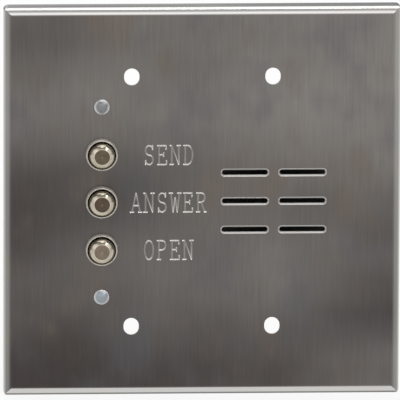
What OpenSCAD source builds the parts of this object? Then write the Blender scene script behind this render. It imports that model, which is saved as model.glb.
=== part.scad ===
// Intercom room station for a two-gang wall box.
// A folded plate carries three push keys with leaf switches behind them,
// and a small loudspeaker behind six sound slots.
// Millimetres. X runs right as seen from the room, Y into the wall, Z up.
// The origin is the middle of the plate's rear rim, on the wall.

/* [Plate] */
// Width of the plate
plate_w = 129.5; // [126:0.5:140]
// Height of the plate
plate_h = 129.5; // [126:0.5:140]
// Thickness of the sheet
sheet_t = 1; // [0.8:0.1:1.2]
// Width of the sloped edge, seen from the front
bevel_w = 2.1; // [1.8:0.1:3]
// Drop of the sloped edge below the face
bevel_d = 0.9; // [0.7:0.1:1.3]
// Depth from the face to the wall
rim_depth = 6; // [5.5:0.5:9]
// Outer radius of the upright corners
corner_r = 1.6; // [1.5:0.1:4]

/* [Box screws] */
// Distance between the screw columns
screw_pitch_x = 46.04; // [44:0.01:48]
// Distance between the screw rows
screw_pitch_z = 83.34; // [82:0.01:88]
// Width of a screw hole
screw_hole_w = 5; // [4.2:0.1:5.4]
// Height of a screw hole
screw_hole_h = 5.6; // [5.5:0.1:7]

/* [Sound slots] */
// Length of a slot
slot_len = 15.8; // [12:0.1:17]
// Clear height of a slot
slot_open = 1.5; // [1.2:0.1:2.2]
// Width of the slot's eased front edge
slot_edge = 0.5; // [0.2:0.05:0.6]
// Distance between the slot columns
slot_pitch_x = 18.8; // [18:0.1:20]
// Distance between the slot rows
slot_pitch_z = 9.525; // [8:0.025:10]

/* [Keys] */
// Position of the key column, left of the middle
key_x = 32.75; // [32:0.05:34]
// Distance between neighbouring keys
key_pitch = 15.875; // [15.5:0.025:16.5]
// Diameter of a key cap
cap_d = 8.4; // [7:0.1:8.6]
// Diameter of the flat on the cap's front
cap_face_d = 5.4; // [4:0.1:6]
// How far a cap stands out of the face
cap_out = 4.6; // [4.2:0.1:6]
// How far a key is pressed in
key_travel = 2; // [1.5:0.1:2.5]
// Diameter of a key stem
stem_d = 4; // [3.6:0.1:4.4]
// Diameter of the collar that keeps a key behind its ferrule
collar_d = 10.4; // [10:0.1:10.8]
// Outer diameter of a ferrule's rim
ferrule_d = 10.6; // [10.2:0.1:10.9]
// Bore of a ferrule
ferrule_bore = 9.2; // [9:0.05:9.3]
// How far a ferrule stands out of the face
ferrule_out = 2; // [0.7:0.1:2.2]

/* [Key springs] */
// Wire diameter
wire_d = 0.5; // [0.4:0.05:0.6]
// Diameter at the middle of the wire
spring_d = 6.8; // [6.4:0.1:7.2]
// Number of curls
spring_turns = 5; // [4:1:6]

/* [Switch bracket] */
// Thickness of the bracket sheet
bracket_t = 1.2; // [1:0.1:1.5]
// Clear depth between plate and bracket web
bracket_depth = 10; // [9.5:0.5:12]
// Height of the web between the bends
web_h = 54; // [53:0.5:56]
// Distance from a leg's outside to its rivet
rivet_off = 4.75; // [4.5:0.05:5.5]
// Diameter of a rivet head
rivet_head_d = 5; // [4.4:0.1:5.6]
// Height of a rivet head
rivet_head_h = 1.3; // [1:0.1:1.8]
// Diameter of a rivet shank
rivet_d = 3; // [2.5:0.1:3.4]

/* [Leaf switches] */
// Thickness of a contact leaf
leaf_t = 0.35; // [0.3:0.05:0.5]
// Width of a contact leaf
leaf_w = 6; // [5:0.5:7]
// Diameter of a contact
contact_d = 2.6; // [2:0.1:3]
// Height of a contact above its leaf
contact_h = 0.85; // [0.6:0.05:1]
// Thickness of the insulator under the clamp plate
top_insulator_t = 1.2; // [1:0.1:1.6]
// Thickness of the clamp plate
clamp_t = 1; // [0.8:0.1:1.4]
// Diameter of the clamp screws
stack_screw_d = 2.5; // [2:0.1:2.6]

/* [Terminal board] */
// Thickness of the board
board_t = 1.6; // [1.2:0.1:2]
// Number of terminals
terminal_count = 5; // [3:1:5]
// Distance from a board post to the next terminal
post_room = 5.5; // [5.2:0.1:6.5]

/* [Loudspeaker] */
// Position of the loudspeaker, right of the middle
speaker_x = 23.4; // [23:0.1:25]
// Side of the square frame
speaker_w = 50; // [49:0.5:52]
// Thickness of the gasket
gasket_t = 1.8; // [1.6:0.1:2.4]
// Diameter of the voice coil former
coil_d = 14.4; // [14:0.1:14.8]
// Outer diameter of the magnet
magnet_d = 32; // [30:0.5:34]
// Thickness of the magnet
magnet_t = 6; // [5:0.5:8]
// Diameter of the weld studs
stud_d = 3; // [2.5:0.1:3.2]

/* [Clearances] */
// Between a key collar and its ferrule
stop_gap = 0.1; // [0.05:0.05:0.2]
// Around a stem in its guide hole
guide_gap = 0.05; // [0.03:0.01:0.08]
// Around fixed shanks in their holes
shank_gap = 0.05; // [0.03:0.01:0.1]
// Between a pusher and its leaf
pusher_gap = 0.2; // [0.15:0.05:0.4]
// Between the contacts with a key pressed in
contact_gap = 0.05; // [0.05:0.05:0.3]
// Each side of the coil in the magnet gap
coil_gap = 0.3; // [0.3:0.05:0.5]

/* [Output] */
// One node, or all of them

/* [Hidden] */
$fn = 64;
cut = 1; // cutters run past a face by this much

// Plate edge
bend_r = 3;
edge_in = 0.3;
edge_r = sheet_t + edge_in;
bend_steps = 4;
corner_steps = 6;
bevel_a = atan2(bevel_d, bevel_w);
bend_len = bend_r * tan(bevel_a / 2);
edge_len = edge_r * tan((90 - bevel_a) / 2);

// Key column, upper to lower
key_z = [key_pitch, 0, -key_pitch];
ferrule_edge = 0.3;
ferrule_lip = 0.5;
ferrule_step = 0.2;
ferrule_lip_d = ferrule_d + 2 * ferrule_lip;
ferrule_wall_d = ferrule_d - 2 * ferrule_step;
collar_t = 1;
collar_y = sheet_t + ferrule_lip + stop_gap;
web_y = sheet_t + bracket_depth;
web_back = web_y + bracket_t;
pusher_d = 5.5;
pusher_stand = 0.4;
pusher_y = web_back + pusher_stand;
pusher_len = 3.6;
pusher_end = 0.8;

// Spring
spring_y0 = collar_y + collar_t;
spring_sides = 6;
spring_rings = 8;
spring_n = spring_turns * spring_rings;

// Bracket
bend_in = 0.4;
web_reach_left = 10;
web_reach_right = 25.75;
leg_reach = 9;
web_left = -key_x - web_reach_left;
web_right = -key_x + web_reach_right;
foot_len = 2 * rivet_off;
rivet_z = web_h / 2 + rivet_off;
tail_d = 4.4;
tail_h = 0.9;

// Leaf stacks, counted from the web into the wall
stack_len = 12;
stack_w = 8;
stack_screw_in = 3;
stack_x0 = web_right - stack_len;
stack_x1 = web_right;
stack_screw_x = [stack_x0 + stack_screw_in, stack_x1 - stack_screw_in];
leaf_reach = 7.25;
contact_reach = 5.25;
leaf_x0 = -key_x - leaf_reach;
contact_x = -key_x - contact_reach;
tail_len = 4.5;
leaf_tail_w = 2.4;
leaf_tail_z = 1.6;
tail_hole_d = 1;
moving_y = pusher_y + pusher_len + pusher_gap;
spacer_y = moving_y + leaf_t;
spacer_t = key_travel + 2 * contact_h + contact_gap;
fixed_y = spacer_y + spacer_t;
top_y = fixed_y + leaf_t;
clamp_y = top_y + top_insulator_t;
head_y = clamp_y + clamp_t;
stack_head_d = 4.4;
stack_head_h = 1.6;
sleeve_wall = 0.35;
sleeve_r = stack_screw_d / 2 + shank_gap + sleeve_wall;
driver_w = 0.6;
driver_d = 0.7;

// Terminal board
board_w = 12;
board_off = 7.75;
board_gap = 2.4;
board_x = -key_x + board_off;
board_y = head_y + stack_head_h + board_gap;
board_back = board_y + board_t;
post_d = 5;
post_in = 5.5;
post_gap = 1.125;
post_z = key_pitch + leaf_w / 2 + post_gap + post_d / 2;
board_h = 2 * (post_z + post_in);
terminal_pitch = 2 * (post_z - post_room) / (terminal_count - 1);
post_spigot_d = 3;
board_screw_d = 2.4;
board_screw_len = 5;
board_screw_spare = 1;
lug_t = 0.6;
lug_w = 5;
lug_tail_w = 2.6;
lug_tail = 4;
terminal_screw_d = 3;
terminal_head_d = 4.8;
terminal_head_h = 1.8;
terminal_end = 1;

// Loudspeaker, counted from the plate into the wall
lip_t = 0.3;
flange_y = sheet_t + gasket_t;
flange_t = 0.8;
flange_w = 2.5;
lip_in = 1;
stud_in = 4.5;
stud_out = 5;
frame_open_r = speaker_w / 2 - flange_w;
lip_r = speaker_w / 2 - lip_in;
stud_off = speaker_w / 2 - stud_in;
stud_end = flange_y + flange_t + stud_out;
nut_w = 5.5;
nut_t = 2.2;
roll_r = 1.2;
roll_in = 0.5;
rim_in = 0.3;
rim_w = 1;
rim_back_w = 0.8;
rim_lap = 0.9;
roll_mid = frame_open_r - roll_in - roll_r;
cone_rim = roll_mid - roll_r - rim_in;
lip_y = flange_y - lip_t;
paper_t = 0.45;
former_r = coil_d / 2;
former_t = 0.2;
winding_t = 0.35;
winding_len = 3.6;
former_over = 0.2;
ledge_depth = 9;
ledge_share = 0.3725; // of the way from the coil to the frame's opening
ledge_w = 1.7;
ring_drop = 2.5;
neck_over = 1;
ledge_y = flange_y + ledge_depth;
ledge_r = former_r + ledge_share * (frame_open_r - former_r);
ring_y = ledge_y + ring_drop;
ring_back = ring_y + flange_t;
neck_y = ledge_y - neck_over;
wall_r = ledge_r + ledge_w;
top_plate_t = 2.5;
magnet_y = ring_back + top_plate_t;
back_y = magnet_y + magnet_t;
back_t = 2.2;
yoke_in = 1;
magnet_in = 1.2;
yoke_r = magnet_d / 2 - yoke_in;
pole_r = former_r - former_t - coil_gap;
gap_r = former_r + winding_t + coil_gap;
stake_r = 1;
stake_h = 0.4;
stake_shift = 0.3;
stake_pitch_r = (gap_r + ledge_r) / 2 + stake_shift;
coil_reach = 3.1;
coil_end = ring_back + coil_reach;
cap_lap = 0.8;
cap_r = former_r + cap_lap;
cap_rise = 2;
window_w = 11;
window_in = 3;
window_front = 1.6;
window_back = 1;
ear_w = 15;
ear_gap = 0.2;
ear_len = 6.4;
ear_x0 = wall_r + ear_gap;
ear_x1 = wall_r + ear_len;
strip_t = 1.2;
tag_t = 0.4;
tag_w = 3;
tag_z = 4.6;
tag_in = 0.6;
tag_tail = 4;
tag_y = ledge_y + flange_t + strip_t;
tag_end = speaker_x - ear_x1 - tag_tail;
ear_rivet_x = speaker_x - (ear_x0 + ear_x1) / 2;
ear_rivet_d = 2;
ear_rivet_head_d = 2.8;
ear_rivet_head_h = 0.4;

// Helpers

// Moves a part drawn from the plate's face so that the rim meets the wall
module on_wall() {
  translate([0, -rim_depth, 0]) children();
}

// A rod along Y
module rod(x, z, y0, y1, d) {
  translate([x, y0, z]) rotate([-90, 0, 0]) cylinder(h = y1 - y0, d = d);
}

// A turned part on an axis along Y, from a profile of radius and depth
module turned(x, z) {
  translate([x, 0, z]) rotate([-90, 0, 0]) rotate_extrude() children();
}

// A block between two corners
module block(x, y, z) {
  translate([x[0], y[0], z[0]]) cube([x[1] - x[0], y[1] - y[0], z[1] - z[0]]);
}

// A hexagonal prism along Y
module hex(x, z, y0, y1, across) {
  translate([x, y0, z]) rotate([-90, 0, 0]) cylinder(h = y1 - y0, d = across / cos(30), $fn = 6);
}

// The stretch of width w about c
function about(c, w) = [c - w / 2, c + w / 2];

// Points of an arc
function arc(c, r, a0, a1, n) =
  [for (i = [0:n]) c + r * [cos(a0 + (a1 - a0) * i / n), sin(a0 + (a1 - a0) * i / n)]];

// Plate

// Half of the folded edge, as depth and distance from the middle, set in by the sheet or not
function fold(half, inset) = concat(
  arc([bend_r, half - bevel_w - bend_len], bend_r - inset, 180, 180 - bevel_a, bend_steps),
  arc([bevel_d + edge_len, half - edge_r], edge_r - inset, 180 - bevel_a, 90, bend_steps),
  [[rim_depth + (inset > 0 ? cut : 0), half - inset]]
);

function flip(points) =
  [for (i = [len(points) - 1:-1:0]) [points[i][0], -points[i][1]]];

module fold_profile(half, inset) {
  polygon(concat(fold(half, inset), flip(fold(half, inset))));
}

function corner(w, h, r, turn) = arc(
  [(turn == 0 || turn == 3 ? 1 : -1) * (w / 2 - r), (turn < 2 ? 1 : -1) * (h / 2 - r)],
  r, 90 * turn, 90 * turn + 90, corner_steps
);

// The folded tray, solid: where two folded strips and the rounded outline meet
module tray(inset) {
  w = plate_w - 2 * inset;
  h = plate_h - 2 * inset;
  outline = [for (turn = [0:3]) each corner(w, h, corner_r - inset, turn)];
  intersection() {
    translate([-plate_w, 0, 0]) rotate([90, 0, 90])
      linear_extrude(2 * plate_w) fold_profile(plate_h / 2, inset);
    translate([0, 0, -plate_h]) rotate([0, 0, 90])
      linear_extrude(2 * plate_h) fold_profile(plate_w / 2, inset);
    translate([0, rim_depth + 2 * cut, 0]) rotate([90, 0, 0])
      linear_extrude(rim_depth + 4 * cut) polygon(outline);
  }
}

module screw_hole(x, z) {
  run = (screw_hole_h - screw_hole_w) / 2;
  for (side = [-1, 1])
    rod(x, z + side * run, -cut, sheet_t + cut, screw_hole_w);
  block(about(x, screw_hole_w), [-cut, sheet_t + cut], about(z, 2 * run));
}

// A slot with round ends and an eased front edge
module slot(x, z) {
  run = (slot_len - slot_open) / 2 - slot_edge;
  wide = slot_open / 2 + slot_edge;
  for (side = [-1, 1]) {
    rod(x + side * run, z, -cut, sheet_t + cut, slot_open);
    translate([x + side * run, 0, z]) rotate([-90, 0, 0])
      cylinder(h = slot_edge, r1 = wide, r2 = slot_open / 2);
  }
  block(about(x, 2 * run), [-cut, sheet_t + cut], about(z, slot_open));
  translate([x - run, 0, z]) rotate([90, 0, 90]) linear_extrude(2 * run)
    polygon([[0, -wide], [0, wide], [slot_edge, slot_open / 2], [slot_edge, -slot_open / 2]]);
}

module faceplate() {
  color([0.45, 0.44, 0.43]) on_wall() difference() {
    tray(0);
    tray(sheet_t);
    for (side_x = [-1, 1], side_z = [-1, 1])
      screw_hole(side_x * screw_pitch_x / 2, side_z * screw_pitch_z / 2);
    for (z = key_z)
      rod(-key_x, z, -cut, sheet_t + cut, ferrule_wall_d + 2 * shank_gap);
    for (side = [-1, 1])
      rod(-key_x, side * rivet_z, -cut, sheet_t + cut, rivet_d + 2 * shank_gap);
    for (column = [-0.5, 0.5], row = [-1:1])
      slot(speaker_x + column * slot_pitch_x, row * slot_pitch_z);
  }
}

// Keys

// A ferrule: rounded rim in front, sleeve through the sheet, lip turned out behind
module ferrule(z) {
  bore = ferrule_bore / 2;
  rim = ferrule_d / 2;
  wall = ferrule_wall_d / 2;
  back = sheet_t + ferrule_lip;
  color([0.8, 0.77, 0.68]) on_wall() turned(-key_x, z)
    polygon(concat(
      [[bore, back], [ferrule_lip_d / 2, back], [ferrule_lip_d / 2, sheet_t], [wall, sheet_t], [wall, 0]],
      [[rim, 0]],
      arc([rim - ferrule_edge, ferrule_edge - ferrule_out], ferrule_edge, 0, -90, bend_steps),
      [[bore + ferrule_edge / 2, -ferrule_out], [bore, ferrule_edge / 2 - ferrule_out]]
    ));
}

// A key: cap with a rounded shoulder, collar behind the ferrule and stem
module button(z) {
  shoulder = (cap_d - cap_face_d) / 2;
  color([0.78, 0.74, 0.64]) on_wall() turned(-key_x, z) {
    polygon([
      [0, -cap_out], [cap_face_d / 2, -cap_out], [cap_face_d / 2, shoulder - cap_out],
      [cap_d / 2, shoulder - cap_out], [cap_d / 2, collar_y], [collar_d / 2, collar_y],
      [collar_d / 2, spring_y0], [stem_d / 2, spring_y0],
      [stem_d / 2, pusher_y + pusher_len - pusher_end], [0, pusher_y + pusher_len - pusher_end]
    ]);
    intersection() {
      translate([cap_face_d / 2, shoulder - cap_out]) circle(r = shoulder);
      translate([cap_face_d / 2, -cap_out - cut]) square(shoulder + cut);
    }
  }
}

// The nylon end on a stem, which pushes the moving leaf
module pusher(z) {
  stem = stem_d / 2;
  end = pusher_y + pusher_len;
  ease = 0.5;
  color([0.92, 0.9, 0.84]) on_wall() turned(-key_x, z)
    polygon([
      [stem, pusher_y], [pusher_d / 2, pusher_y], [pusher_d / 2, end - ease], [pusher_d / 2 - ease, end],
      [0, end], [0, end - pusher_end], [stem, end - pusher_end]
    ]);
}

// Points of one ring of the spring's wire
function ring_points(i) =
  let (
    turn = 360 * i / spring_rings,
    rise = (web_y - spring_y0 - wire_d) / spring_n,
    middle = [spring_d / 2 * cos(turn), spring_y0 + wire_d / 2 + rise * i, spring_d / 2 * sin(turn)],
    outward = [cos(turn), 0, sin(turn)]
  ) [
    for (k = [0:spring_sides - 1])
      let (a = 30 + 360 * k / spring_sides)
        middle + wire_d / 2 * (cos(a) * outward + sin(a) * [0, 1, 0])
  ];

spring_points = [for (i = [0:spring_n]) each ring_points(i)];

// Least distance between points that are at least half a curl apart along the wire
spring_self_gap = min([
  for (i = [0:spring_n], j = [i + spring_rings / 2:1:spring_n])
    for (a = ring_points(i), b = ring_points(j))
      norm(a - b)
]);
echo(spring_self_gap = spring_self_gap);

function quad(a, b, c, d) = [[a, b, c], [a, c, d]];

module spring(z) {
  last = spring_n * spring_sides;
  sides = [
    for (i = [0:spring_n - 1], k = [0:spring_sides - 1])
      let (a = i * spring_sides + k, b = i * spring_sides + (k + 1) % spring_sides)
        each quad(a, a + spring_sides, b + spring_sides, b)
  ];
  ends = [
    for (k = [1:spring_sides - 2])
      each [[0, k, k + 1], [last, last + k + 1, last + k]]
  ];
  color([0.6, 0.6, 0.62]) on_wall() translate([-key_x, 0, z])
    polyhedron(points = spring_points, faces = concat(sides, ends));
}

// Bracket

module bracket_rivets() {
  base = 0.3;
  crown = rivet_head_h - base;
  ball = (pow(rivet_head_d / 2, 2) + crown * crown) / (2 * crown);
  back = sheet_t + bracket_t;
  color([0.62, 0.64, 0.68]) on_wall() for (side = [-1, 1]) {
    z = side * rivet_z;
    turned(-key_x, z) {
      intersection() {
        translate([0, ball - rivet_head_h]) circle(r = ball);
        translate([0, -rivet_head_h - cut]) square([rivet_head_d, crown + cut]);
      }
      translate([0, -base]) square([rivet_head_d / 2, base]);
    }
    rod(-key_x, z, -base, back + tail_h, rivet_d);
    rod(-key_x, z, back, back + tail_h, tail_d);
  }
}

// The hat's section as depth and height: feet on the plate, legs, and the web behind the keys
module hat_section() {
  half = web_h / 2;
  foot = half + foot_len;
  out = bend_in + bracket_t;
  edge = concat(
    [[sheet_t, foot]],
    arc([sheet_t + out, half + bend_in], out, 180, 270, bend_steps),
    arc([web_y - bend_in, half - out], bend_in, 90, 0, bend_steps)
  );
  back = concat(
    arc([web_back - out, half - out], out, 0, 90, bend_steps),
    arc([sheet_t + out, half + bend_in], bend_in, 270, 180, bend_steps),
    [[sheet_t + bracket_t, foot]]
  );
  polygon(concat(edge, flip(edge), flip(back), back));
}

module switch_bracket() {
  half = web_h / 2 - bracket_t - bend_in;
  foot = web_h / 2 + foot_len;
  color([0.68, 0.68, 0.66]) on_wall() difference() {
    intersection() {
      translate([web_left, 0, 0]) rotate([90, 0, 90])
        linear_extrude(web_right - web_left) hat_section();
      union() {
        block([web_left, web_right], [0, web_back + cut], [-half, half]);
        block(about(-key_x, 2 * leg_reach), [0, web_back + cut], [-foot, foot]);
      }
    }
    for (z = key_z) {
      rod(-key_x, z, web_y - cut, web_back + cut, stem_d + 2 * guide_gap);
      for (x = stack_screw_x)
        rod(x, z, web_y - cut, web_back + cut, stack_screw_d + 2 * shank_gap);
    }
    for (side = [-1, 1]) {
      rod(-key_x, side * rivet_z, 0, sheet_t + bracket_t + cut, rivet_d + 2 * shank_gap);
      rod(board_x, side * post_z, web_y - cut, web_back + cut, post_spigot_d + 2 * shank_gap);
    }
  }
}

// Leaf switches

// Holes for the clamp sleeves of one stack
module sleeve_holes(z, y0, y1) {
  for (x = stack_screw_x)
    rod(x, z, y0 - cut, y1 + cut, 2 * (sleeve_r + shank_gap));
}

// One clamped block of each of the three stacks
module stack_blocks(y0, y1) {
  for (z = key_z) difference() {
    block([stack_x0, stack_x1], [y0, y1], about(z, stack_w));
    sleeve_holes(z, y0, y1);
  }
}

// A leaf with its solder tail, set to one side
module leaf(z, y, tail_side) {
  tail = z + tail_side * leaf_tail_z;
  end = stack_x1 + tail_len;
  difference() {
    union() {
      block([leaf_x0, stack_x1], [y, y + leaf_t], about(z, leaf_w));
      block([stack_x1, end], [y, y + leaf_t], about(tail, leaf_tail_w));
    }
    sleeve_holes(z, y, y + leaf_t);
    rod(end - leaf_tail_w / 2, tail, y - cut, y + leaf_t + cut, tail_hole_d);
  }
}

// A leaf whose contact faces into the wall
module moving_leaf(z) {
  color([0.72, 0.5, 0.3]) on_wall() {
    leaf(z, moving_y, 1);
    rod(contact_x, z, spacer_y, spacer_y + contact_h, contact_d);
  }
}

// A leaf whose contact faces the room
module fixed_leaf(z) {
  color([0.72, 0.5, 0.3]) on_wall() {
    leaf(z, fixed_y, -1);
    rod(contact_x, z, fixed_y - contact_h, fixed_y, contact_d);
  }
}

module base_insulators() {
  color([0.36, 0.2, 0.12]) on_wall() stack_blocks(web_back, moving_y);
}

module leaf_spacers() {
  color([0.36, 0.2, 0.12]) on_wall() stack_blocks(spacer_y, fixed_y);
}

module top_insulators() {
  color([0.36, 0.2, 0.12]) on_wall() stack_blocks(top_y, clamp_y);
}

module clamp_plates() {
  color([0.68, 0.68, 0.66]) on_wall() for (z = key_z) difference() {
    block([stack_x0, stack_x1], [clamp_y, head_y], about(z, stack_w));
    for (x = stack_screw_x)
      rod(x, z, clamp_y - cut, head_y + cut, stack_screw_d + 2 * shank_gap);
  }
}

module stack_sleeves() {
  color([0.85, 0.82, 0.7]) on_wall() for (z = key_z, x = stack_screw_x) difference() {
    rod(x, z, web_back, clamp_y, 2 * sleeve_r);
    rod(x, z, web_back - cut, clamp_y + cut, stack_screw_d + 2 * shank_gap);
  }
}

// A slotted cheese-head screw whose head sits on depth y and whose end is at depth end
module screw(x, z, y, end, d, head_d, head_h) {
  difference() {
    union() {
      rod(x, z, end, y, d);
      rod(x, z, y, y + head_h, head_d);
    }
    block(about(x, 2 * head_d), [y + head_h - driver_d, y + head_h + cut], about(z, driver_w));
  }
}

module stack_screws() {
  color([0.7, 0.7, 0.68]) on_wall() for (z = key_z, x = stack_screw_x)
    screw(x, z, head_y, web_y, stack_screw_d, stack_head_d, stack_head_h);
}

// Terminal board

terminal_z = [for (i = [0:terminal_count - 1]) (i - (terminal_count - 1) / 2) * terminal_pitch];

module terminal_board() {
  color([0.32, 0.18, 0.1]) on_wall() difference() {
    block(about(board_x, board_w), [board_y, board_back], about(0, board_h));
    for (side = [-1, 1])
      rod(board_x, side * post_z, board_y - cut, board_back + cut, board_screw_d + 2 * shank_gap);
    for (z = terminal_z)
      rod(board_x, z, board_y - cut, board_back + cut, terminal_screw_d + 2 * shank_gap);
  }
}

module board_posts() {
  color([0.75, 0.6, 0.32]) on_wall() for (side = [-1, 1]) difference() {
    union() {
      rod(board_x, side * post_z, web_y, web_back, post_spigot_d);
      hex(board_x, side * post_z, web_back, board_y, post_d);
    }
    rod(board_x, side * post_z, board_y - board_screw_len, board_y + cut, board_screw_d + 2 * shank_gap);
  }
}

module board_screws() {
  end = board_y - board_screw_len + board_screw_spare;
  color([0.7, 0.7, 0.68]) on_wall() for (side = [-1, 1])
    screw(board_x, side * post_z, board_back, end, board_screw_d, stack_head_d, stack_head_h);
}

module terminal_lugs() {
  left = board_x - lug_w / 2;
  right = board_x + board_w / 2;
  color([0.78, 0.62, 0.34]) on_wall() for (z = terminal_z) difference() {
    union() {
      block([left, right], [board_back, board_back + lug_t], about(z, lug_w));
      block([right, right + lug_tail], [board_back, board_back + lug_t], about(z, lug_tail_w));
    }
    rod(board_x, z, board_back - cut, board_back + lug_t + cut, terminal_screw_d + 2 * shank_gap);
    rod(right + lug_tail - lug_tail_w / 2, z, board_back - cut, board_back + lug_t + cut, tail_hole_d);
  }
}

module terminal_screws() {
  color([0.8, 0.66, 0.38]) on_wall() for (z = terminal_z)
    screw(board_x, z, board_back + lug_t, board_y - terminal_end, terminal_screw_d,
      terminal_head_d, terminal_head_h);
}

// Loudspeaker

module at_studs() {
  for (side_x = [-1, 1], side_z = [-1, 1])
    translate([speaker_x + side_x * stud_off, 0, side_z * stud_off]) children();
}

module speaker_studs() {
  color([0.7, 0.68, 0.66]) on_wall() at_studs() {
    rod(0, 0, sheet_t, stud_end, stud_d);
  }
}

module speaker_nuts() {
  y = flange_y + flange_t;
  color([0.7, 0.7, 0.68]) on_wall() at_studs() difference() {
    hex(0, 0, y, y + nut_t, nut_w);
    rod(0, 0, y - cut, y + nut_t + cut, stud_d + 2 * shank_gap);
  }
}

module square_sheet(y0, y1) {
  block(about(speaker_x, speaker_w), [y0, y1], about(0, speaker_w));
}

module speaker_gasket() {
  color([0.13, 0.13, 0.13]) on_wall() difference() {
    square_sheet(sheet_t, flange_y);
    rod(speaker_x, 0, sheet_t - cut, flange_y + cut, 2 * frame_open_r);
    rod(speaker_x, 0, lip_y, flange_y + cut, 2 * (lip_r + shank_gap));
    at_studs() rod(0, 0, sheet_t - cut, flange_y + cut, stud_d + 2 * shank_gap);
  }
}

// Square flange, sloped basket with windows, ledge for the spider and rear ring
module speaker_frame() {
  thick = flange_t;
  color([0.6, 0.6, 0.58]) on_wall() difference() {
    union() {
      difference() {
        square_sheet(flange_y, flange_y + thick);
        rod(speaker_x, 0, flange_y - cut, flange_y + thick + cut, 2 * frame_open_r);
        at_studs() rod(0, 0, flange_y - cut, flange_y + thick + cut, stud_d + 2 * shank_gap);
      }
      turned(speaker_x, 0) polygon([
        [frame_open_r, flange_y], [frame_open_r, flange_y + thick / 2],
        [wall_r, ledge_y], [ledge_r, ledge_y], [ledge_r, ring_y], [gap_r, ring_y],
        [gap_r, ring_back], [ledge_r + thick, ring_back], [ledge_r + thick, ledge_y + thick],
        [wall_r + thick / 2, ledge_y + thick], [frame_open_r + thick, flange_y + thick],
        [frame_open_r + thick, flange_y]
      ]);
      block([speaker_x - ear_x1, speaker_x - ledge_r - thick / 2], [ledge_y, ledge_y + thick],
        about(0, ear_w));
    }
    for (turn = [45:90:315])
      translate([speaker_x, 0, 0]) rotate([0, turn, 0])
        block([ledge_r + window_in, speaker_w], [flange_y + window_front, ledge_y - window_back],
          about(0, window_w));
    for (turn = [0:90:270])
      translate([speaker_x, 0, 0]) rotate([0, turn, 0])
        rod(stake_pitch_r, 0, ring_y - cut, ring_back + cut, 2 * (stake_r + shank_gap));
    rod(ear_rivet_x, 0, ledge_y - cut, ledge_y + thick + cut, ear_rivet_d + 2 * shank_gap);
  }
}

// Flat outer lip, half roll and flat inner lip
module speaker_surround() {
  middle = [roll_mid, lip_y + lip_t / 2];
  color([0.1, 0.1, 0.1]) on_wall() turned(speaker_x, 0) {
    translate([roll_mid + roll_r, lip_y]) square([lip_r - roll_mid - roll_r, lip_t]);
    translate([cone_rim - rim_lap, lip_y]) square([rim_in + rim_lap, lip_t]);
    polygon(concat(
      arc(middle, roll_r + lip_t / 2, 0, 180, 2 * corner_steps),
      arc(middle, roll_r - lip_t / 2, 180, 0, 2 * corner_steps)
    ));
  }
}

module speaker_cone() {
  color([0.16, 0.15, 0.14]) on_wall() turned(speaker_x, 0) polygon([
    [cone_rim, flange_y], [cone_rim, flange_y + paper_t], [cone_rim - rim_back_w, flange_y + paper_t],
    [former_r, neck_y + paper_t], [former_r, neck_y], [cone_rim - rim_w, flange_y]
  ]);
}

// A shallow dome on the cone's neck
module dust_cap() {
  shell = 0.3;
  fine = 256;
  ball = (cap_r * cap_r + cap_rise * cap_rise) / (2 * cap_rise);
  base = neck_y - (cap_r - former_r) * (neck_y - flange_y) / (cone_rim - rim_w - former_r);
  middle = [0, base - cap_rise + ball];
  color([0.14, 0.13, 0.12]) on_wall() turned(speaker_x, 0) intersection() {
    difference() {
      translate(middle) circle(r = ball, $fn = fine);
      translate(middle) circle(r = ball - shell, $fn = fine);
    }
    translate([0, base - cap_rise - cut]) square([2 * cap_r, cap_rise + cut]);
  }
}

// Former with the winding at its inner end
module voice_coil() {
  inner = former_r - former_t;
  color([0.7, 0.42, 0.22]) on_wall() turned(speaker_x, 0) polygon([
    [inner, neck_y - former_over], [former_r, neck_y - former_over], [former_r, coil_end - winding_len],
    [former_r + winding_t, coil_end - winding_len], [former_r + winding_t, coil_end], [inner, coil_end]
  ]);
}

// Corrugated disc that centres the voice coil
module spider() {
  wave = 0.5;
  flat = 0.8;
  waves = 8;
  ledge_gap = 0.3;
  edge_gap = 0.6;
  y = ledge_y - lip_t;
  run = ledge_r - ledge_gap - former_r - flat;
  line = concat(
    [[former_r, y]],
    [for (i = [0:waves]) [former_r + flat + run * i / waves, y - wave * sin(90 * i)]],
    [[wall_r - edge_gap, y]]
  );
  back = [for (i = [len(line) - 1:-1:0]) line[i] + [0, lip_t]];
  color([0.75, 0.62, 0.4]) on_wall() turned(speaker_x, 0) polygon(concat(line, back));
}

module top_plate() {
  color([0.66, 0.66, 0.64]) on_wall() {
    difference() {
      rod(speaker_x, 0, ring_back, magnet_y, 2 * yoke_r);
      rod(speaker_x, 0, ring_back - cut, magnet_y + cut, 2 * gap_r);
    }
    for (turn = [0:90:270])
      translate([speaker_x, 0, 0]) rotate([0, turn, 0])
        rod(stake_pitch_r, 0, ring_y - stake_h, magnet_y, 2 * stake_r);
  }
}

module magnet() {
  color([0.2, 0.2, 0.21]) on_wall() difference() {
    rod(speaker_x, 0, magnet_y, back_y, magnet_d);
    rod(speaker_x, 0, magnet_y - cut, back_y + cut, 2 * (gap_r + magnet_in));
  }
}

module back_plate() {
  color([0.66, 0.66, 0.64]) on_wall() {
    rod(speaker_x, 0, back_y, back_y + back_t, 2 * yoke_r);
    rod(speaker_x, 0, ring_back, back_y + back_t, 2 * pole_r);
  }
}

module tag_strip() {
  y0 = ledge_y + flange_t;
  color([0.36, 0.2, 0.12]) on_wall() difference() {
    block([speaker_x - ear_x1, speaker_x - ear_x0], [y0, y0 + strip_t], about(0, ear_w));
    rod(ear_rivet_x, 0, y0 - cut, y0 + strip_t + cut, ear_rivet_d + 2 * shank_gap);
  }
}

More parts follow.
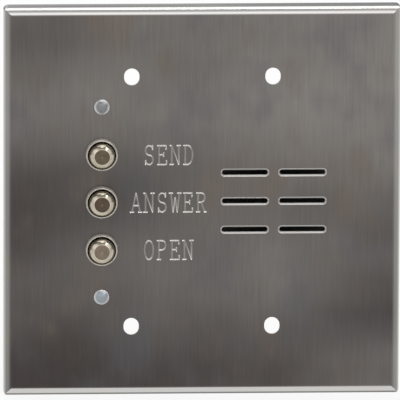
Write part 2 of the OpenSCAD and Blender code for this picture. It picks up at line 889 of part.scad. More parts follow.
module tag_rivet() {
  color([0.75, 0.6, 0.32]) on_wall() {
    rod(ear_rivet_x, 0, ledge_y - ear_rivet_head_h, tag_y + ear_rivet_head_h, ear_rivet_d);
    rod(ear_rivet_x, 0, ledge_y - ear_rivet_head_h, ledge_y, ear_rivet_head_d);
    rod(ear_rivet_x, 0, tag_y, tag_y + ear_rivet_head_h, ear_rivet_head_d);
  }
}

module speaker_tags() {
  color([0.8, 0.78, 0.72]) on_wall() for (side = [-1, 1]) difference() {
    block([tag_end, speaker_x - ear_x0 - tag_in], [tag_y, tag_y + tag_t], about(side * tag_z, tag_w));
    rod(tag_end + tag_w / 2, side * tag_z, tag_y - cut, tag_y + tag_t + cut, tail_hole_d);
  }
}

module upper_ferrule() ferrule(key_z[0]);
module middle_ferrule() ferrule(key_z[1]);
module lower_ferrule() ferrule(key_z[2]);
module upper_button() button(key_z[0]);
module middle_button() button(key_z[1]);
module lower_button() button(key_z[2]);
module upper_pusher() pusher(key_z[0]);
module middle_pusher() pusher(key_z[1]);
module lower_pusher() pusher(key_z[2]);
module upper_spring() spring(key_z[0]);
module middle_spring() spring(key_z[1]);
module lower_spring() spring(key_z[2]);
module upper_moving_leaf() moving_leaf(key_z[0]);
module middle_moving_leaf() moving_leaf(key_z[1]);
module lower_moving_leaf() moving_leaf(key_z[2]);
module upper_fixed_leaf() fixed_leaf(key_z[0]);
module middle_fixed_leaf() fixed_leaf(key_z[1]);
module lower_fixed_leaf() fixed_leaf(key_z[2]);

faceplate();
bracket_rivets();
upper_ferrule();
middle_ferrule();
lower_ferrule();
upper_button();
middle_button();
lower_button();
upper_pusher();
middle_pusher();
lower_pusher();
upper_spring();
middle_spring();
lower_spring();
switch_bracket();
base_insulators();
upper_moving_leaf();
middle_moving_leaf();
lower_moving_leaf();
leaf_spacers();
upper_fixed_leaf();
middle_fixed_leaf();
lower_fixed_leaf();
top_insulators();
clamp_plates();
stack_sleeves();
stack_screws();
terminal_board();
board_posts();
board_screws();
terminal_lugs();
terminal_screws();
speaker_studs();
speaker_nuts();
speaker_gasket();
speaker_frame();
speaker_surround();
speaker_cone();
dust_cap();
voice_coil();
spider();
top_plate();
magnet();
back_plate();
tag_strip();
tag_rivet();
speaker_tags();
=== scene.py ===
"""Dresses the intercom room station: its finishes, engraving, turned parts, leaves and springs."""
import math

import bmesh
import bpy
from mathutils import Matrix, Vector


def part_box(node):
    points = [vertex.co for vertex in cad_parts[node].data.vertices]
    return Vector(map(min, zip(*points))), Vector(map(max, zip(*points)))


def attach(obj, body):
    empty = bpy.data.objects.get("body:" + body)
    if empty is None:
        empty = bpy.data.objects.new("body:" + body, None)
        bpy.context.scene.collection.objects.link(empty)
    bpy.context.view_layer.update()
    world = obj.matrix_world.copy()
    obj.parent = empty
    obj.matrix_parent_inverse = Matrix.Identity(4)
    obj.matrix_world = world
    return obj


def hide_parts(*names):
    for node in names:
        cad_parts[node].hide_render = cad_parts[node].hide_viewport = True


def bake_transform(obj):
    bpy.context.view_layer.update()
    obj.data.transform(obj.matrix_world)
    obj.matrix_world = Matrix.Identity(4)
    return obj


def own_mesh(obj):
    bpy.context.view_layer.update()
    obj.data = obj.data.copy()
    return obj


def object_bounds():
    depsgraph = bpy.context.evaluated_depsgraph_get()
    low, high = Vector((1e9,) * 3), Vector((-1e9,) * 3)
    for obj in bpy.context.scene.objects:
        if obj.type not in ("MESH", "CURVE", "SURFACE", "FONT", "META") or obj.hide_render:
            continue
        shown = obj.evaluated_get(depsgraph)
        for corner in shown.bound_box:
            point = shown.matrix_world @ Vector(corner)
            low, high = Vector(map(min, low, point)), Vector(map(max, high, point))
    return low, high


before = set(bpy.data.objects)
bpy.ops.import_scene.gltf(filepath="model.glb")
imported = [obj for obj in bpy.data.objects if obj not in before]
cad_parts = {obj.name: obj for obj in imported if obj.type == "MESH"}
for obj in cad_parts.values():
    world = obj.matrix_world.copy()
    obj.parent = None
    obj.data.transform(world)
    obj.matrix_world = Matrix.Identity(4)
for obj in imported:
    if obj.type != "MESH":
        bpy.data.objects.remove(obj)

cad_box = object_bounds()

MM = 0.001
RIM_DEPTH = 6.0  # from the plate's face back to the wall
EDGE = 64.75  # half the plate's side
KEYS = ("upper", "middle", "lower")
ROUND = 96  # steps round a turned part


def depth(y):
    """Place along Y, in metres, of a depth in millimetres behind the plate's face."""
    return (y - RIM_DEPTH) * MM


def middle(node):
    """Middle of a CAD node's box, in millimetres."""
    low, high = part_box(node)
    return (low + high) / (2 * MM)


SPEAKER = middle("speaker_cone")


def shade(red, green, blue):
    """A colour given as it is seen on a screen, from 0 to 255."""
    seen = [part / 255 for part in (red, green, blue)]
    return tuple(c / 12.92 if c <= 0.04045 else ((c + 0.055) / 1.055) ** 2.4 for c in seen) + (1.0,)


# Shader expressions


STEEP_LEAST = 0.001  # keeps a surface that faces the room from dividing by nothing


class Line:
    """A node's output, which can be used in sums."""

    def __init__(self, finish, socket):
        self.finish = finish
        self.socket = socket

    def math(self, operation, *values):
        return self.finish.add("ShaderNodeMath", {"operation": operation}, dict(enumerate(values)))

    def __add__(self, other):
        return self.math("ADD", self, other)

    def __radd__(self, other):
        return self.math("ADD", other, self)

    def __sub__(self, other):
        return self.math("SUBTRACT", self, other)

    def __rsub__(self, other):
        return self.math("SUBTRACT", other, self)

    def __mul__(self, other):
        return self.math("MULTIPLY", self, other)

    def __rmul__(self, other):
        return self.math("MULTIPLY", other, self)

    def __truediv__(self, other):
        return self.math("DIVIDE", self, other)

    def __pow__(self, other):
        return self.math("POWER", self, other)

    def __abs__(self):
        return self.math("ABSOLUTE", self)


class Finish:
    """A material: its nodes, and the shader that they feed."""

    def __init__(self, name, fixed=None, owner=None):
        self.owner = owner or bpy.data.materials.new(name)
        self.owner.use_nodes = True
        self.tree = self.owner.node_tree
        self.shader = self.tree.nodes.get("Principled BSDF")
        for socket, value in (fixed or {}).items():
            self.feed(socket, value)
        self.mm = self.vector("SCALE", self.add("ShaderNodeTexCoord", out="Object"), scale=1 / MM)
        self.x, self.y, self.z = self.parts(self.mm)

    def join(self, socket, value):
        """Links a socket to a node's output, or sets it to a plain value."""
        if isinstance(value, Line):
            self.tree.links.new(value.socket, socket)
        elif isinstance(value, tuple):
            socket.default_value = value[: len(socket.default_value)]
        else:
            socket.default_value = value

    def feed(self, socket, value):
        """Sets or links one of the shader's own sockets."""
        self.join(self.shader.inputs[socket], value)

    def add(self, kind, settings=None, values=None, out=0):
        """Any node: its settings first, then the values or links of its sockets."""
        node = self.tree.nodes.new(kind)
        for key, value in (settings or {}).items():
            setattr(node, key, value)
        for key, value in (values or {}).items():
            self.join(node.inputs[key], value)
        return Line(self, node.outputs[out])

    def vector(self, operation, a, b=None, scale=None):
        """Arithmetic on vectors or colours."""
        values = {0: a}
        if b is not None:
            values[1] = b
        if scale is not None:
            values["Scale"] = scale
        return self.add("ShaderNodeVectorMath", {"operation": operation}, values)

    def parts(self, vector):
        """X, Y and Z of a vector."""
        first = self.add("ShaderNodeSeparateXYZ", {}, {0: vector})
        return [Line(self, socket) for socket in first.socket.node.outputs]

    def mix(self, share, a, b):
        """Colour a where share is 0, colour b where it is 1."""
        return self.add("ShaderNodeMix", {"data_type": "RGBA"}, {0: share, 6: a, 7: b}, out=2)

    def dim(self, colour, level):
        """A colour made lighter or darker by a level about 1."""
        return self.vector("SCALE", colour, scale=level)

    def noise(self, size, detail=2.0):
        """Soft random values from 0 to 1, with grains of a size in millimetres along X, Y and Z."""
        where = self.vector("DIVIDE", self.mm, size)
        return self.add("ShaderNodeTexNoise", {}, {"Vector": where, "Scale": 1.0, "Detail": detail})

    def cells(self, size):
        """Distance from the middle of the nearest random cell."""
        where = self.vector("DIVIDE", self.mm, size)
        return self.add("ShaderNodeTexVoronoi", {}, {"Vector": where, "Scale": 1.0})

    def grade(self, value, low, high):
        """Runs smoothly from 0 at low to 1 at high."""
        return self.add(
            "ShaderNodeMapRange",
            {"interpolation_type": "SMOOTHSTEP"},
            {"Value": value, "From Min": low, "From Max": high},
        )

    def wave(self, value, length):
        """A sine from 0 to 1 that repeats at a length in millimetres."""
        angle = value * (2 * math.pi / length)
        return 0.5 + 0.5 * angle.math("SINE", angle)

    def radius(self, x, z):
        """Distance from an axis along Y."""
        across, up = self.x - x, self.z - z
        return (across * across + up * up) ** 0.5

    def normal(self):
        """How far the surface faces right, the wall and up, each from -1 to 1."""
        return self.parts(self.add("ShaderNodeNewGeometry", out="Normal"))

    def heading(self):
        """1 where the surface slopes up, 0 where it slopes to a side and -1 where it slopes down."""
        across, _, up = self.normal()
        steep = (across * across + up * up) ** 0.5 + STEEP_LEAST
        return up / steep

    def slope(self):
        """0 where the surface faces the room or the wall, 1 where it is upright to the plate."""
        return 1 - abs(self.normal()[1])

    def relief(self, height, high):
        """Bumps of a height in millimetres."""
        bump = self.add("ShaderNodeBump", {}, {"Height": height, "Distance": high * MM})
        self.feed("Normal", bump)

    def colour(self, value):
        self.feed("Base Color", value)

    def rough(self, value):
        self.feed("Roughness", value)


# Finishes


FLAT_R = 2.0  # of a key's toned end
FACE_R = 2.65  # with its rolled edge
DIMPLE_R = 0.25  # of the lathe's mark in its middle
SLOT_REACH = (18.5, 12.0)  # half of the width and height that the sound slots take
SLOT_BLUR = 0.1  # over which their finish begins
RIVET_R = 2.5  # of a rivet's head


def tone_and_painted_reflections(f):
    """Broad lighter and darker stretches of the brushed face: painted reflections, with random
    cloudiness.
    """
    # painted reflections: lighter towards the upper right, in sloping bands and darker low on the
    # right; the cloud is random tone
    rise = 0.5 + (f.x + f.z) / (4 * EDGE)
    cloud = f.noise((38, 20, 30), 2)
    painted_reflection_bands = f.wave(f.z - 0.06 * f.x - 17, 58)
    painted_shade_side = f.grade(f.x, 15, 64) * f.grade(f.z, 25, -15) * f.grade(f.z, -54, -36)
    return rise + 0.6 * (cloud - 0.5) + 0.28 * painted_reflection_bands - 0.45 * painted_shade_side


def brushed_stainless():
    """Sheet brushed up and down, with painted highlights on its sloped edges and painted shade on its
    rim's rougher top and bottom walls.
    """
    f = Finish("brushed_stainless", {"Metallic": 1.0, "Anisotropic": 0.35})
    strokes = f.noise((0.16, 6, 9), 3)
    streaks = f.noise((0.8, 6, 22), 2)
    tint = f.noise((17, 10, 24), 3)
    # the face's tone runs through these painted reflections, from darker to lighter
    plain = f.mix(f.grade(tone_and_painted_reflections(f), 0, 1.2), shade(73, 68, 66), shade(131, 127, 123))
    warm = f.mix(0.4 * f.grade(tint, 0.5, 0.72), plain, shade(112, 100, 92))
    face = f.mix(0.35 * f.grade(tint, 0.5, 0.3), warm, shade(92, 92, 98))
    level = 1 + 0.42 * (strokes - 0.5) + 0.26 * (streaks - 0.5)
    across, _, up = f.normal()
    # painted highlights: the sloped edges lighter than the face, the upper and lower ones lightest
    sides = f.mix(f.grade(abs(across), 0.02, 0.95), f.dim(face, level), shade(190, 189, 184))
    edges = f.mix(f.grade(abs(up), 0.02, 0.14), sides, shade(208, 206, 203))
    # painted shade on the rim's top and bottom walls, which are also rougher
    painted_top_shade = f.grade(f.slope(), 0.49, 0.76) * f.grade(up, 0.05, 0.3)
    painted_low_shade = f.grade(up, -0.42, -0.6)
    wall = (painted_top_shade + painted_low_shade) * f.grade(abs(f.z), EDGE - 4, EDGE - 3)
    # painted shade on the rim's walls, over the painted edge highlights
    f.colour(f.mix(wall, edges, shade(100, 98, 98)))
    half_w, half_h = SLOT_REACH
    slots_x = f.grade(abs(f.x - SPEAKER.x), half_w + SLOT_BLUR, half_w)
    slots = slots_x * f.grade(abs(f.z), half_h + SLOT_BLUR, half_h)
    turned = f.grade(abs(across) + abs(up), 0.02, 0.3)
    f.rough(0.36 + 0.16 * (strokes - 0.5) * (1 - turned) - turned * (0.22 - 0.32 * slots) + 0.22 * wall)
    f.relief((strokes + 0.5 * streaks) * (1 - turned), 0.006)
    return f


def cut_stainless():
    """Engraved lines: bright where the cutter crossed the brushing, duller where it ran along it."""
    f = Finish("cut_stainless", {"Metallic": 1.0})
    chatter = f.noise((0.12, 0.12, 0.12), 2)
    along = f.grade(abs(f.heading()), 0.7, 0.3)
    bright = f.mix(f.grade(chatter, 0.3, 0.7), shade(206, 204, 201), shade(240, 238, 234))
    f.colour(f.mix(along, bright, shade(186, 184, 180)))
    f.rough(0.38 + 0.2 * (chatter - 0.5))
    return f


def nickel():
    """Warm bright plating with a little tarnish."""
    f = Finish("nickel", {"Metallic": 1.0})
    haze = f.noise((2.2, 2.2, 2.2), 3)
    wear = f.noise((0.5, 0.5, 0.5), 2)
    plated = f.mix(f.grade(haze, 0.35, 0.7), shade(197, 188, 172), shade(177, 168, 150))
    f.colour(f.mix(0.25 * f.grade(wear, 0.55, 0.8), plated, shade(150, 136, 112)))
    f.rough(0.12 + 0.1 * (haze - 0.4))
    return f


def satin_nickel():
    """Duller plating on the outside of the ferrules."""
    f = Finish("satin_nickel", {"Metallic": 0.55})
    haze = f.noise((1.4, 1.4, 1.4), 3)
    f.colour(f.mix(f.grade(haze, 0.3, 0.7), shade(214, 208, 199), shade(190, 184, 175)))
    f.rough(0.5 + 0.1 * (haze - 0.4))
    return f


def bore_nickel():
    """Plating in the ferrules' bores, a little tarnished."""
    f = Finish("bore_nickel", {"Metallic": 0.85})
    haze = f.noise((0.6, 0.6, 0.6), 3)
    f.colour(f.mix(f.grade(haze, 0.3, 0.7), shade(206, 201, 190), shade(176, 170, 158)))
    f.rough(0.45 + 0.1 * (haze - 0.4))
    return f


def dark_nickel():
    """Dark plating on the side of a key, where it slides in its ferrule, streaked along its length."""
    f = Finish("dark_nickel", {"Metallic": 1.0})
    dark_streaks = f.noise((0.3, 3, 0.3), 3)
    f.colour(f.mix(f.grade(dark_streaks, 0.35, 0.75), shade(46, 42, 38), shade(92, 84, 74)))
    f.rough(0.3 + 0.2 * (dark_streaks - 0.5))
    return f


def key_face(key, tone):
    """The turned end of a key cap: its tone darkened as a painted reflection, with a painted highlight
    round its edge.
    """
    f = Finish(key + "_key_face", {"Metallic": 1.0})
    at = middle(key + "_button")
    radius = f.radius(at.x, at.z)
    rings = f.wave(radius, 0.22)
    blotch = f.noise((1.6, 1.6, 1.6), 3)
    # the tone is the key's own, darkened as a painted reflection
    toned = f.dim(tone, 0.8 + 0.5 * (blotch - 0.5) + 0.25 * rings)
    # painted highlight round the rolled edge
    painted_edge_highlight = f.mix(f.grade(radius, FACE_R - 0.2, FACE_R), toned, shade(232, 226, 211))
    f.colour(f.mix(f.grade(radius, DIMPLE_R, 0.1), painted_edge_highlight, shade(150, 138, 122)))
    f.rough(0.34 + 0.12 * (rings - 0.5))
    f.relief(rings, 0.004)
    return f


def rivet_steel():
    """Plated rivet heads with a painted highlight round the rim; the lower one is bluer."""
    f = Finish("rivet_steel", {"Metallic": 1.0})
    low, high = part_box("bracket_rivets")
    across = f.x - (low.x + high.x) / (2 * MM)
    up = abs(f.z) - (high.z / MM - RIVET_R)
    radius = (across * across + up * up) ** 0.5
    grain = f.noise((0.4, 0.4, 0.4), 3)
    flat = f.mix(f.grade(grain, 0.3, 0.7), shade(118, 119, 122), shade(146, 147, 149))
    blued = f.mix(0.6 * f.grade(f.z, 5, -5), flat, shade(162, 174, 183))
    # painted highlight round each head's rim
    f.colour(f.mix(f.grade(radius, 1.6, 2.35), blued, shade(214, 214, 215)))
    f.rough(0.4 + 0.2 * (grain - 0.5))
    return f


def zinc_steel():
    """Plated sheet steel with a faint blue and straw cast."""
    f = Finish("zinc_steel", {"Metallic": 1.0})
    cast = f.noise((9, 9, 9), 3)
    spangle = f.cells((1.6, 1.6, 1.6))
    stain = f.noise((2.5, 2.5, 2.5), 4)
    plated = f.mix(f.grade(cast, 0.34, 0.68), shade(169, 173, 180), shade(188, 184, 173))
    toned = f.dim(plated, 0.9 + 0.2 * spangle)
    f.colour(f.mix(0.35 * f.grade(stain, 0.6, 0.8), toned, shade(126, 124, 118)))
    f.rough(0.32 + 0.22 * (stain - 0.4))
    f.relief(stain, 0.01)
    return f


def nylon():
    """Cloudy cream moulding."""
    f = Finish("nylon", {"Specular IOR Level": 0.45})
    cloud = f.noise((1.2, 1.2, 1.2), 3)
    f.colour(f.mix(cloud, shade(214, 206, 184), shade(236, 231, 216)))
    f.rough(0.42 + 0.15 * (cloud - 0.5))
    f.relief(f.noise((0.25, 0.25, 0.25), 2), 0.01)
    return f


def spring_steel():
    """Drawn wire, oiled and a little browned."""
    f = Finish("spring_steel", {"Metallic": 1.0})
    drawn = f.noise((0.5, 0.12, 0.5), 3)
    brown = f.noise((2, 2, 2), 3)
    steel = f.mix(f.grade(drawn, 0.3, 0.7), shade(122, 122, 124), shade(176, 176, 178))
    f.colour(f.mix(0.5 * f.grade(brown, 0.52, 0.75), steel, shade(132, 108, 84)))
    f.rough(0.24 + 0.2 * (drawn - 0.4))
    return f


def phenolic():
    """Brown laminated board: paper layers on its edges, mottled on its faces."""
    f = Finish("phenolic", {"Specular IOR Level": 0.5})
    mottle = f.noise((1.8, 0.6, 1.8), 4)
    layers = f.noise((30, 0.11, 30), 1)
    fibre = f.noise((0.25, 0.4, 2.2), 3)
    edge = f.grade(f.slope(), 0.3, 0.8)
    face = f.mix(f.grade(mottle, 0.3, 0.72), shade(82, 44, 24), shade(124, 74, 42))
    side = f.mix(f.grade(layers, 0.35, 0.65), shade(70, 36, 20), shade(136, 86, 50))
    body = f.mix(edge, face, side)
    f.colour(f.dim(body, 0.9 + 0.25 * fibre))
    f.rough(0.38 + 0.25 * (mottle - 0.4))
    f.relief(fibre + edge * layers, 0.02)
    return f


def phosphor_bronze():
    """Rolled strip, tarnished in patches."""
    f = Finish("phosphor_bronze", {"Metallic": 1.0})
    rolled = f.noise((16, 0.3, 0.14), 3)
    patch = f.noise((4, 4, 3), 4)
    clean = f.mix(f.grade(rolled, 0.3, 0.7), shade(186, 136, 86), shade(216, 170, 116))
    f.colour(f.mix(0.6 * f.grade(patch, 0.5, 0.75), clean, shade(132, 84, 56)))
    f.rough(0.26 + 0.25 * (patch - 0.4))
    return f


def sleeving():
    """Varnished fibre tube."""
    f = Finish("sleeving", {"Specular IOR Level": 0.5})
    weave = f.wave(f.x + f.y, 0.5) * f.wave(f.z - f.y, 0.5)
    f.colour(f.mix(weave, shade(176, 156, 98), shade(222, 208, 158)))
    f.rough(0.35 + 0.2 * weave)
    f.relief(weave, 0.02)
    return f


def brass():
    """Turned brass, tarnished in patches."""
    f = Finish("brass", {"Metallic": 1.0})
    tarnish = f.noise((1.6, 1.6, 1.6), 4)
    turned = f.noise((0.9, 0.12, 0.9), 2)
    bright = f.mix(f.grade(turned, 0.3, 0.7), shade(196, 158, 84), shade(222, 188, 112))
    f.colour(f.mix(0.7 * f.grade(tarnish, 0.48, 0.75), bright, shade(134, 98, 52)))
    f.rough(0.24 + 0.3 * (tarnish - 0.35))
    return f


def tinned():
    """Dull tin over brass, thin in places."""
    f = Finish("tinned", {"Metallic": 1.0})
    flow = f.noise((1.1, 1.1, 1.1), 4)
    f.colour(f.mix(f.grade(flow, 0.4, 0.8), shade(196, 196, 194), shade(160, 150, 128)))
    f.rough(0.36 + 0.3 * (flow - 0.4))
    f.relief(flow, 0.02)
    return f


def felt():
    """Black pressed hair."""
    f = Finish("felt", {"Specular IOR Level": 0.2})
    hair = f.noise((0.5, 0.14, 0.14), 4)
    cross = f.noise((0.14, 0.5, 0.5), 4)
    f.colour(f.mix(f.grade(hair * cross, 0.15, 0.4), shade(20, 20, 20), shade(58, 57, 55)))
    f.rough(0.95 + 0.1 * (hair - 0.5))
    f.relief(hair + cross, 0.12)
    return f


def cone_paper():
    """Felted dark paper pulp."""
    f = Finish("cone_paper", {"Specular IOR Level": 0.25})
    pulp = f.noise((0.7, 0.2, 0.7), 5)
    fleck = f.noise((0.22, 0.22, 0.22), 3)
    f.colour(f.mix(f.grade(pulp, 0.3, 0.75), shade(26, 25, 24), shade(52, 49, 46)))
    f.rough(0.85 + 0.15 * (fleck - 0.5))
    f.relief(pulp + fleck, 0.05)
    return f


def doped_cloth(name, dark, light):
    """Fine woven cloth, stiffened with dope."""
    f = Finish(name, {"Specular IOR Level": 0.35})
    weave = 0.5 * f.wave(f.x, 0.42) + 0.5 * f.wave(f.z, 0.42)
    dope = f.noise((3, 3, 3), 3)
    f.colour(f.mix(f.grade(weave + 0.5 * (dope - 0.5), 0.2, 0.8), dark, light))
    f.rough(0.6 + 0.3 * (dope - 0.5))
    f.relief(weave, 0.04)
    return f


def copper_coil():
    """Enamelled wire, laid in close turns."""
    f = Finish("copper_coil", {"Metallic": 1.0})
    turns = f.wave(f.y, 0.2)
    enamel = f.noise((1.5, 0.2, 1.5), 2)
    wire = f.mix(turns, shade(122, 62, 34), shade(206, 124, 74))
    f.colour(f.dim(wire, 0.85 + 0.3 * enamel))
    f.rough(0.3 + 0.2 * (enamel - 0.5))
    return f


def ferrite():
    """Pressed and fired ceramic, ground on its flats."""
    f = Finish("ferrite", {"Specular IOR Level": 0.5})
    grit = f.noise((0.3, 0.3, 0.3), 4)
    cloud = f.noise((5, 5, 5), 3)
    tone = grit + 0.5 * (cloud - 0.5)
    f.colour(f.mix(f.grade(tone, 0.3, 0.75), shade(36, 36, 38), shade(70, 70, 72)))
    f.rough(0.55 + 0.3 * (grit - 0.5))
    f.relief(grit, 0.04)
    return f


STAINLESS = brushed_stainless()
CUT = cut_stainless()
NICKEL = nickel()
SATIN = satin_nickel()
BORE = bore_nickel()
DARK_NICKEL = dark_nickel()
# each key's own tone, darkened as a painted reflection
KEY_FACES = {
    "upper": key_face("upper", shade(105, 95, 80)),
    "middle": key_face("middle", shade(93, 80, 68)),
    "lower": key_face("lower", shade(131, 119, 104)),
}
RIVET = rivet_steel()
ZINC = zinc_steel()
NYLON = nylon()
SPRING = spring_steel()
PHENOLIC = phenolic()
BRONZE = phosphor_bronze()
SLEEVING = sleeving()
BRASS = brass()
TINNED = tinned()
FELT = felt()
PAPER = cone_paper()
SURROUND_CLOTH = doped_cloth("surround_cloth", shade(16, 16, 16), shade(44, 43, 42))
SPIDER_CLOTH = doped_cloth("spider_cloth", shade(150, 116, 62), shade(206, 176, 118))
COPPER = copper_coil()
FERRITE = ferrite()


# Mesh helpers


JOIN = 1e-6  # within which two points are one
FLAT_ANGLE = math.radians(0.5)  # within which faces are one flat
SHARP_ANGLE = math.radians(40)  # from which an edge is eased


def bow(at, radii, start, stop, steps=14):
    """Points of an elliptic arc, with its angles in degrees."""
    angles = [math.radians(start + (stop - start) * i / steps) for i in range(steps + 1)]
    return [(at[0] + radii[0] * math.cos(a), at[1] + radii[1] * math.sin(a)) for a in angles]


def shown(node, bm, finishes, crease=35, name=None):
    """Turns a mesh into a piece that stands for a CAD node, smooth except at its creases."""
    name = name or node + "_dressed"
    mesh = bpy.data.meshes.new(name)
    bmesh.ops.recalc_face_normals(bm, faces=bm.faces)
    bm.to_mesh(mesh)
    bm.free()
    if "custom_normal" in mesh.attributes:  # the CAD mesh's own, which no longer fit
        mesh.attributes.remove(mesh.attributes["custom_normal"])
    piece = bpy.data.objects.new(name, mesh)
    bpy.context.scene.collection.objects.link(piece)
    for finish in finishes:
        mesh.materials.append(finish.owner)
    smooth(mesh, crease)
    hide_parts(node)
    return piece


def smooth(mesh, crease):
    """Shades a mesh smooth, except along edges that turn by more than the crease."""
    mesh.polygons.foreach_set("use_smooth", [True] * len(mesh.polygons))
    mesh.set_sharp_from_angle(angle=math.radians(crease))


def weigh(piece):
    """Lets large flats keep their own normals, so that only the eased edges turn."""
    modifier = piece.modifiers.new("flats", "WEIGHTED_NORMAL")
    modifier.keep_sharp = True
    modifier.weight = 100
    settle(piece)


def settle(piece):
    """Makes a piece's modifiers part of its mesh."""
    bpy.context.view_layer.update()
    posed = piece.evaluated_get(bpy.context.evaluated_depsgraph_get())
    mesh = bpy.data.meshes.new_from_object(posed)
    piece.modifiers.clear()
    piece.data = mesh


def ring(bm, radius, y, x, z):
    """One ring of a turned part, or a single point on its axis."""
    if radius == 0:
        return [bm.verts.new((x * MM, depth(y), z * MM))]
    turns = [2 * math.pi * i / ROUND for i in range(ROUND)]
    return [
        bm.verts.new(((x + radius * math.cos(a)) * MM, depth(y), (z + radius * math.sin(a)) * MM))
        for a in turns
    ]


def bridge(bm, first, second, zone):
    """Faces between two rings, either of which may be a point."""
    count = max(len(first), len(second))
    if count == 1:
        return
    for i in range(count):
        corners = [first[i % len(first)], first[(i + 1) % len(first)]]
        corners += [second[(i + 1) % len(second)], second[i % len(second)]]
        face = bm.faces.new(list(dict.fromkeys(corners)))
        face.material_index = zone


def turn(bm, profile, x, z, zones=None, closed=False):
    """Spins a profile of radius and depth about an axis along Y; zones give each stretch its finish."""
    rings = [ring(bm, radius, y, x, z) for radius, y in profile]
    if closed:
        rings.append(rings[0])
    for i in range(len(rings) - 1):
        bridge(bm, rings[i], rings[i + 1], zones[i] if zones else 0)


def zoned(*stretches):
    """Joins stretches of a profile, each with the number of its finish."""
    points, zones = [], []
    for zone, stretch in stretches:
        points += stretch
        zones += [zone] * len(stretch)
    return points, zones


def solid_copy(node):
    """The CAD node's mesh with its shared corners joined."""
    bm = bmesh.new()
    bm.from_mesh(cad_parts[node].data)
    bmesh.ops.remove_doubles(bm, verts=bm.verts, dist=JOIN)
    return bm


def join_flats(bm):
    """Takes out the edges that lie within a flat."""
    bmesh.ops.dissolve_limit(bm, angle_limit=FLAT_ANGLE, verts=bm.verts, edges=bm.edges)


def round_edges(bm, edges, width, segments):
    """Rounds some edges of a mesh, over a width in millimetres."""
    bmesh.ops.bevel(
        bm, geom=edges, offset=width * MM, offset_type="OFFSET", segments=segments,
        profile=0.5, affect="EDGES", clamp_overlap=True,
    )


def ease_edges(bm, width):
    """Rounds the sharp edges of a solid."""
    join_flats(bm)
    sharp = [e for e in bm.edges if e.is_manifold and e.calc_face_angle(0) > SHARP_ANGLE]
    round_edges(bm, sharp, width, 2)


def eased(node, finish, width):
    """A CAD node with eased edges."""
    bm = solid_copy(node)
    ease_edges(bm, width)
    piece = shown(node, bm, [finish])
    weigh(piece)
    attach(piece, "station")


# Engraved words


LETTER_W = 3.3
LETTER_H = 6.3
LETTER_PITCH = 4.25
WORD_X = -10.9  # middle of the words
WORD_DROP = 0.3  # from a key's middle
LINE_HALF = 0.24  # half the width of an engraved line
LINE_DEEP = 0.22
LIFT = 0.1  # of the cutter out of the plate's face
LIFT_STEP = 0.002  # more for each line, so that no two tops lie in one plane
WORDS = {"upper": "SEND", "middle": "ANSWER", "lower": "OPEN"}


def foot(x, z, half=0.17):
    """A short line across the end of a letter's stroke."""
    return [(x - half, z), (x + half, z)]


STEM = [[(0.2, 0), (0.2, 1)]]
SMALL_BOWL = [[(0.04, 1)] + bow((0.5, 0.755), (0.36, 0.245), 90, -90) + [(0.22, 0.51)]]
S_LINE = bow((0.5, 0.75), (0.36, 0.25), 25, 270) + bow((0.5, 0.25), (0.38, 0.25), 90, -155)[1:]
LETTERS = {
    "A": [
        [(0.1, 0), (0.5, 1)], [(0.5, 1), (0.9, 0)], [(0.24, 0.35), (0.76, 0.35)],
        foot(0.1, 0), foot(0.9, 0),
    ],
    "D": STEM + [[(0.04, 1)] + bow((0.45, 0.5), (0.47, 0.5), 90, -90, 20) + [(0.04, 0)]],
    "E": STEM + [
        [(0.04, 1), (0.88, 1)], [(0.88, 1), (0.88, 0.82)], [(0.2, 0.52), (0.64, 0.52)],
        [(0.64, 0.43), (0.64, 0.61)], [(0.04, 0), (0.92, 0)], [(0.92, 0), (0.92, 0.2)],
    ],
    "N": [
        [(0.15, 0), (0.15, 1)], [(0.15, 1), (0.85, 0)], [(0.85, 0), (0.85, 1)],
        foot(0.15, 0), [(-0.02, 1), (0.15, 1)], foot(0.85, 1),
    ],
    "O": [bow((0.5, 0.5), (0.43, 0.5), 0, 360, 36)],
    "P": STEM + SMALL_BOWL + [foot(0.2, 0)],
    "R": STEM + SMALL_BOWL + [foot(0.2, 0), [(0.5, 0.51), (0.84, 0)], [(0.8, 0), (1, 0)]],
    "S": [S_LINE, [(0.83, 1), (0.83, 0.8)], [(0.15, 0), (0.15, 0.21)]],
    "W": [
        [(0.08, 1), (0.29, 0)], [(0.29, 0), (0.5, 0.75)], [(0.5, 0.75), (0.71, 0)],
        [(0.71, 0), (0.92, 1)], foot(0.08, 1), foot(0.92, 1),
    ],
}


def groove(bm, path, lift):
    """A cutter with a V section along a smooth path of X and Z in millimetres."""
    half = LINE_HALF * (LINE_DEEP + lift) / LINE_DEEP
    points = [Vector(point) for point in path]
    loop = (points[0] - points[-1]).length < JOIN
    if loop:
        points.pop()
    last = len(points) - 1
    rows = []
    for i, point in enumerate(points):
        before = points[i - 1] if loop or i > 0 else point
        after = points[(i + 1) % len(points)] if loop or i < last else point
        along = (after - before).normalized()
        side = Vector((-along.y, along.x)) * half
        front = [bm.verts.new((p.x * MM, depth(-lift), p.y * MM)) for p in (point + side, point - side)]
        rows.append(front + [bm.verts.new((point.x * MM, depth(LINE_DEEP), point.y * MM)), along])
    pairs = [(rows[i], rows[i + 1]) for i in range(last)] + ([(rows[last], rows[0])] if loop else [])
    for a, b in pairs:
        for i, j in ((0, 1), (1, 2), (2, 0)):
            bm.faces.new((a[i], a[j], b[j], b[i]))
    if not loop:
        left, right, deep, along = rows[0]
        round_end(bm, points[0], right, left, deep, -along, half, lift)
        left, right, deep, along = rows[last]
        round_end(bm, points[last], left, right, deep, along, half, lift)


def round_end(bm, point, start, stop, deep, along, half, lift, steps=6):
    """A half cone that closes a groove."""
    side = Vector((-along.y, along.x))
    arc = [start]
    for i in range(1, steps):
        a = math.pi * i / steps
        p = point + half * (math.cos(a) * side + math.sin(a) * along)
        arc.append(bm.verts.new((p.x * MM, depth(-lift), p.y * MM)))
    arc.append(stop)
    for i in range(steps):
        bm.faces.new((arc[i], arc[i + 1], deep))
    bm.faces.new(arc)


